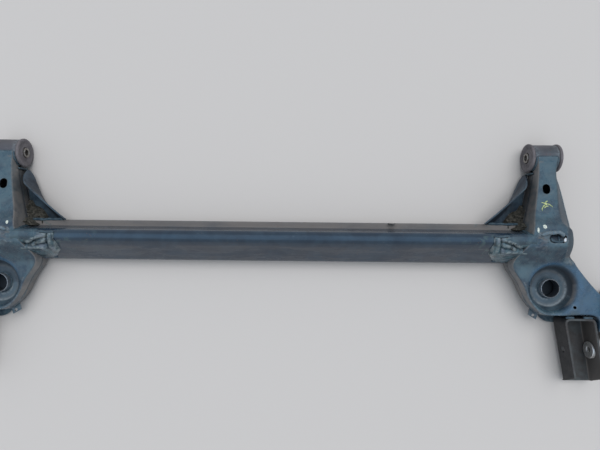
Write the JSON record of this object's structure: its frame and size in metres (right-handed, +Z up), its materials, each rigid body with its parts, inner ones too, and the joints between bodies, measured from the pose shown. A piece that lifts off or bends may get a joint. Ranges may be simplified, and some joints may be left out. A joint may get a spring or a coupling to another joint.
{
  "type": "twist-beam rear axle",
  "caption": "Twist-beam rear axle of a small car: trailing arms with pivot bushes, spring seats, damper brackets and hub flanges, joined by an open V beam.",
  "frame": {"origin": "on the floor that the bare axle lies on, at the centre of its plan", "axes": "+X to the right across the car, +Y towards the front of the car, +Z up"},
  "size_m": [1.396, 0.492, 0.116],
  "materials": {
    "axle_paint": "satin",
    "bracket_paint": "satin",
    "bar_paint": "satin",
    "bush_rubber": "matte",
    "bare_steel": "satin",
    "weld_metal": "satin",
    "road_dirt": "matte",
    "marker_paint": "satin"
  },
  "bodies": {
    "beam": {"cross_beam": "axle_paint", "torsion_bar": "bar_paint", "brake_pipe_tab": "axle_paint"},
    "left_arm": {"arm_upper_shell_left": "axle_paint", "arm_lower_shell_left": "axle_paint", "bush_eye_left": "axle_paint", "bush_outer_sleeve_left": "bare_steel", "bush_rubber_left": "bush_rubber", "bar_end_plate_left": "axle_paint", "arm_gusset_left": "axle_paint", "beam_saddle_left": "axle_paint", "spring_cup_left": "axle_paint", "spring_spigot_left": "axle_paint", "damper_bracket_left": "bracket_paint", "damper_boss_left": "bare_steel", "damper_weld_nut_left": "bare_steel", "hub_flange_left": "axle_paint", "brake_hose_tab_left": "axle_paint"},
    "left_bush_core": {"bush_inner_sleeve_left": "bare_steel"},
    "right_arm": {"arm_upper_shell_right": "axle_paint", "arm_lower_shell_right": "axle_paint", "bush_eye_right": "axle_paint", "bush_outer_sleeve_right": "bare_steel", "bush_rubber_right": "bush_rubber", "bar_end_plate_right": "axle_paint", "arm_gusset_right": "axle_paint", "beam_saddle_right": "axle_paint", "spring_cup_right": "axle_paint", "spring_spigot_right": "axle_paint", "damper_bracket_right": "bracket_paint", "damper_boss_right": "bare_steel", "damper_weld_nut_right": "bare_steel", "hub_flange_right": "axle_paint", "brake_hose_tab_right": "axle_paint"},
    "right_bush_core": {"bush_inner_sleeve_right": "bare_steel"}
  },
  "joints": [
    {"name": "left_arm_twist", "type": "hinge", "parent": "beam", "child": "left_arm", "pos_m": [-0.43, 0.057, 0.08], "axis": [1, 0, 0], "range_deg": [-6, 6], "stiffness_Nm_per_rad": 9000, "deforming": ["cross_beam", "torsion_bar"]},
    {"name": "right_arm_twist", "type": "hinge", "parent": "beam", "child": "right_arm", "pos_m": [0.43, 0.057, 0.08], "axis": [1, 0, 0], "range_deg": [-6, 6], "stiffness_Nm_per_rad": 9000, "deforming": ["cross_beam", "torsion_bar"]},
    {"name": "left_bush_turn", "type": "hinge", "parent": "left_arm", "child": "left_bush_core", "pos_m": [-0.548, 0.217, 0.029], "axis": [1, 0, 0], "range_deg": [-15, 15], "stiffness_Nm_per_rad": 20},
    {"name": "right_bush_turn", "type": "hinge", "parent": "right_arm", "child": "right_bush_core", "pos_m": [0.548, 0.217, 0.029], "axis": [1, 0, 0], "range_deg": [-15, 15], "stiffness_Nm_per_rad": 20}
  ],
  "couplings": [
    {"joint": "right_arm_twist", "follows": "left_arm_twist", "ratio": -1}
  ]
}
